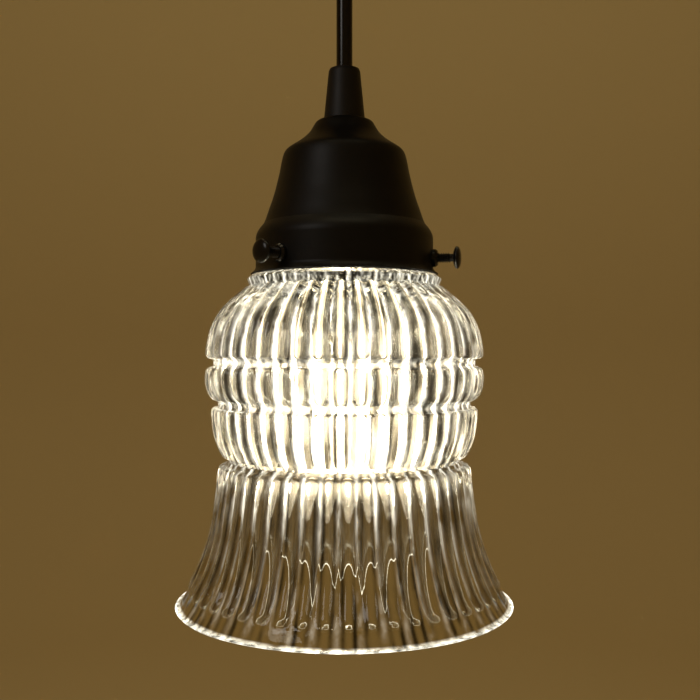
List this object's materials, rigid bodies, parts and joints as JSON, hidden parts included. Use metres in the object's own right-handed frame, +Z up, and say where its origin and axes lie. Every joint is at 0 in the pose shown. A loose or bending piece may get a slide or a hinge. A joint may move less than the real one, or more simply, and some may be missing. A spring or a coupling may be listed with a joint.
{
  "type": "pendant ceiling light",
  "caption": "Small ceiling pendant: clear fluted glass shade clamped by thumbscrews in a black bell holder, hung on a round cord from a ceiling canopy.",
  "frame": {"origin": "middle of the crossbar's outlet-box screw pattern, on the ceiling plane", "axes": "+Z up into the ceiling along the light's axis, +X along the crossbar, towards the side thumbscrew"},
  "size_m": [0.127, 0.127, 0.2924],
  "materials": {
    "black_metal": "satin black powder coat",
    "holder_metal": "satin black lacquer on spun metal",
    "screw_metal": "glossy black",
    "zinc_steel": "zinc plated",
    "ground_green": "green",
    "relief_plastic": "matte moulded",
    "cord_jacket": "glossy extruded",
    "lead_black": "satin",
    "lead_white": "satin",
    "lead_green": "satin",
    "connector_plastic": "satin orange",
    "socket_phenolic": "satin moulded",
    "brass": "plain",
    "shade_glass": "clear, polished",
    "bulb_glass": "frosted soft white",
    "stem_glass": "clear",
    "cap_aluminium": "rolled",
    "cap_insulator": "black glass",
    "solder": "tinned",
    "filament": "dark tungsten"
  },
  "bodies": {
    "ceiling": {"canopy": "black_metal", "crossbar": "zinc_steel", "canopy_studs": "zinc_steel", "stud_lock_nuts": "zinc_steel", "canopy_cap_nuts": "black_metal", "ground_screw": "ground_green", "canopy_nipple": "zinc_steel", "canopy_nut": "zinc_steel", "canopy_strain_relief": "relief_plastic", "canopy_relief_screw": "relief_plastic", "cord_tail": "cord_jacket", "lead_hot": "lead_black", "lead_neutral": "lead_white", "lead_ground": "lead_green", "wire_connectors": "connector_plastic"},
    "pendant": {"cord": "cord_jacket", "strain_relief": "relief_plastic", "relief_screw": "relief_plastic", "nipple": "zinc_steel", "lock_washer": "zinc_steel", "hex_nut": "zinc_steel", "holder": "holder_metal", "screw_bosses": "screw_metal", "shade": "shade_glass", "socket_cap": "socket_phenolic", "socket_body": "socket_phenolic", "socket_shell": "brass", "socket_contact": "brass", "socket_terminals": "brass", "socket_leads": "lead_black"},
    "thumbscrew_right": {"thumbscrew_right": "screw_metal"},
    "thumbscrew_front": {"thumbscrew_front": "screw_metal"},
    "thumbscrew_back": {"thumbscrew_back": "screw_metal"},
    "bulb": {"bulb_glass": "bulb_glass", "bulb_cap": "cap_aluminium", "bulb_insulator": "cap_insulator", "bulb_contact": "solder", "bulb_stem": "stem_glass", "bulb_lead_wires": "solder", "bulb_filament": "filament"}
  },
  "joints": [
    {"name": "swing", "type": "hinge", "parent": "ceiling", "child": "pendant", "pos_m": [0, 0, -0.043], "axis": [0, 1, 0], "range_deg": [-12, 12]},
    {"name": "bulb_unscrew", "type": "slide", "parent": "pendant", "child": "bulb", "axis": [0, 0, -1], "range_m": [0, 0.155]},
    {"name": "thumbscrew_right_out", "type": "slide", "parent": "pendant", "child": "thumbscrew_right", "axis": [0.9781, -0.2079, 0], "range_m": [0, 0.0035]},
    {"name": "thumbscrew_front_out", "type": "slide", "parent": "pendant", "child": "thumbscrew_front", "axis": [-0.6691, -0.7431, 0], "range_m": [0, 0.0035]},
    {"name": "thumbscrew_back_out", "type": "slide", "parent": "pendant", "child": "thumbscrew_back", "axis": [-0.309, 0.9511, 0], "range_m": [0, 0.0035]}
  ]
}
